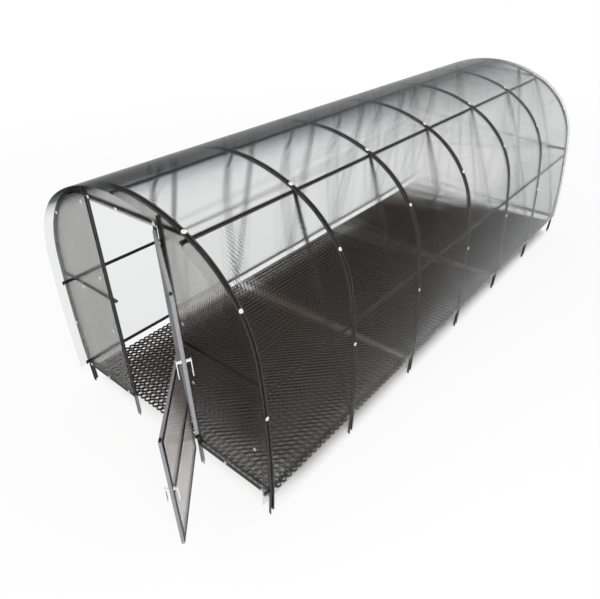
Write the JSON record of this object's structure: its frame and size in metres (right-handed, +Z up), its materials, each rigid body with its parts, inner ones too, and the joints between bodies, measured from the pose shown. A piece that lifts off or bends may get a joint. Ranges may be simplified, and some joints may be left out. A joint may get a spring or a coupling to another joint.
{
  "type": "arched polycarbonate greenhouse",
  "caption": "Arched garden greenhouse: hat-section steel arches on ground stakes, lengthwise rails, braces, clear twin-wall sheets, ring mats and a two-leaf door.",
  "frame": {"origin": "middle of the box round the whole object as it stands with its door open, on the level of the stakes' tips", "axes": "+Z up, +Y along the greenhouse from the door gable to the closed gable, +X to the right for someone who looks in at the door"},
  "size_m": [2.5482, 6.7714, 2.3543],
  "materials": {
    "frame_steel": "near black powder coat on folded galvanized steel",
    "door_steel": "dark grey powder coat, worn lighter on the lit edges",
    "cover_sheet": "clear twin-wall polycarbonate, ribs along the arches",
    "gable_sheet": "clear twin-wall polycarbonate, upright ribs",
    "door_sheet": "clear twin-wall polycarbonate, upright ribs",
    "mat_rubber": "black rubber with round holes",
    "handle_plastic": "white plastic"
  },
  "bodies": {
    "greenhouse": {"arch_1": "frame_steel", "arch_2": "frame_steel", "arch_3": "frame_steel", "arch_4": "frame_steel", "arch_5": "frame_steel", "arch_6": "frame_steel", "arch_7": "frame_steel", "stakes_left": "frame_steel", "stakes_right": "frame_steel", "base_rail_left": "frame_steel", "base_rail_right": "frame_steel", "waist_rail_left": "frame_steel", "waist_rail_right": "frame_steel", "shoulder_rail_left": "frame_steel", "shoulder_rail_right": "frame_steel", "ridge_rail": "frame_steel", "braces_left": "frame_steel", "braces_right": "frame_steel", "front_post_left": "frame_steel", "front_post_right": "frame_steel", "front_lintel": "frame_steel", "front_waist_bars": "frame_steel", "front_base_bars": "frame_steel", "back_posts": "frame_steel", "back_bars": "frame_steel", "cover_front": "cover_sheet", "cover_middle": "cover_sheet", "cover_back": "cover_sheet", "front_sheet_left": "gable_sheet", "front_sheet_right": "gable_sheet", "front_sheet_top": "gable_sheet", "back_sheet_left": "gable_sheet", "back_sheet_middle": "gable_sheet", "back_sheet_right": "gable_sheet", "floor_mat_front": "mat_rubber", "floor_mat_middle": "mat_rubber", "floor_mat_back": "mat_rubber", "door_hinges": "door_steel"},
    "lower_leaf": {"lower_leaf_frame": "door_steel", "lower_leaf_sheet": "door_sheet", "lower_leaf_handles": "handle_plastic"},
    "upper_leaf": {"upper_leaf_frame": "door_steel", "upper_leaf_sheet": "door_sheet", "upper_leaf_handles": "handle_plastic"}
  },
  "joints": [
    {"name": "lower_leaf_hinge", "type": "hinge", "parent": "greenhouse", "child": "lower_leaf", "pos_m": [0.428, -2.74628, 0.68], "axis": [0, 0, 1], "range_deg": [-135, 30]},
    {"name": "upper_leaf_hinge", "type": "hinge", "parent": "greenhouse", "child": "upper_leaf", "pos_m": [0.428, -2.74628, 1.664], "axis": [0, 0, 1], "range_deg": [-150, 15]}
  ]
}
